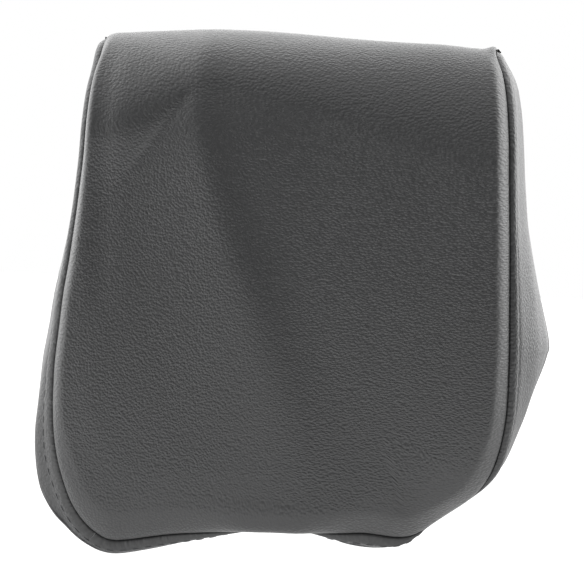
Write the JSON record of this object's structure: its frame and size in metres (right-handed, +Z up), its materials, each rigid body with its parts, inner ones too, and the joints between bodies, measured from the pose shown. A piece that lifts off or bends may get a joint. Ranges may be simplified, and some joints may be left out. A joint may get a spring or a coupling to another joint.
{
  "type": "chair headrest attachment",
  "caption": "Leather headrest pad on a friction tilt hinge and a height slide with a clamping hand knob, on a plate that bolts to a chair back.",
  "frame": {"origin": "centre of the four chair bolts, on the base plate's rear face", "axes": "+X to the side of the hand knob, +Y back into the chair, -Y to the sitter's head, +Z up"},
  "size_m": [0.2334, 0.14, 0.232],
  "materials": {
    "leather": "dark grey pebbled leather",
    "shell_plastic": "matt black",
    "foam": "open foam",
    "zinc_steel": "zinc plated",
    "spring_steel": "blued",
    "zip_tape": "woven",
    "zip_metal": "dark nickel",
    "cast_aluminium": "bead blasted casting",
    "rail_aluminium": "satin anodised",
    "washer_plastic": "fibre",
    "liner_plastic": "acetal",
    "brass": "turned",
    "knob_plastic": "fine texture",
    "cap_plastic": "polished",
    "plate_paint": "satin black powder coat"
  },
  "bodies": {
    "chair_mount": {"base_plate": "plate_paint", "rail_screws": "zinc_steel", "guide_rail": "rail_aluminium", "rail_stop_top": "knob_plastic", "rail_stop_bottom": "knob_plastic", "stop_screws": "zinc_steel"},
    "height_carriage": {"carriage": "cast_aluminium", "glide_liner_left": "liner_plastic", "glide_liner_right": "liner_plastic", "thread_insert": "brass", "pivot_bolt": "zinc_steel", "pivot_nut": "zinc_steel", "disc_springs": "spring_steel", "friction_washers": "washer_plastic"},
    "rail_clamp": {"clamp_pad": "brass"},
    "hand_knob": {"knob_grip": "knob_plastic", "knob_stud": "zinc_steel", "knob_cap": "cap_plastic"},
    "headrest": {"saddle": "cast_aluminium", "saddle_screws": "zinc_steel", "t_nuts": "zinc_steel", "inner_shell": "shell_plastic", "foam_core": "foam", "front_panel": "leather", "back_panel": "leather", "left_gusset": "leather", "right_gusset": "leather", "bottom_gusset": "leather", "zip_tape": "zip_tape", "zip_chain": "zip_metal"},
    "slider": {"zip_slider": "zip_metal"},
    "pull_tab": {"zip_pull": "zip_metal"}
  },
  "joints": [
    {"name": "height", "type": "slide", "parent": "chair_mount", "child": "height_carriage", "axis": [0, 0, 1], "range_m": [0, 0.06]},
    {"name": "tilt", "type": "hinge", "parent": "height_carriage", "child": "headrest", "pos_m": [0, -0.041, -0.01], "axis": [1, 0, 0], "range_deg": [-25, 40]},
    {"name": "clamp_slide", "type": "slide", "parent": "height_carriage", "child": "rail_clamp", "axis": [1, 0, 0], "range_m": [0, 0.00125]},
    {"name": "knob_turn", "type": "hinge", "parent": "rail_clamp", "child": "hand_knob", "pos_m": [0.06, -0.0175, -0.01], "axis": [1, 0, 0], "range_deg": [0, 360]},
    {"name": "zip_slide", "type": "slide", "parent": "headrest", "child": "slider", "axis": [-1, 0, 0], "range_m": [0, 0.108]},
    {"name": "pull_swing", "type": "hinge", "parent": "slider", "child": "pull_tab", "pos_m": [0.054, -0.09442, -0.07339], "axis": [1, 0, 0], "range_deg": [-30, 140]}
  ],
  "couplings": [
    {"joint": "knob_turn", "follows": "clamp_slide", "rad_per_m": 5026}
  ]
}
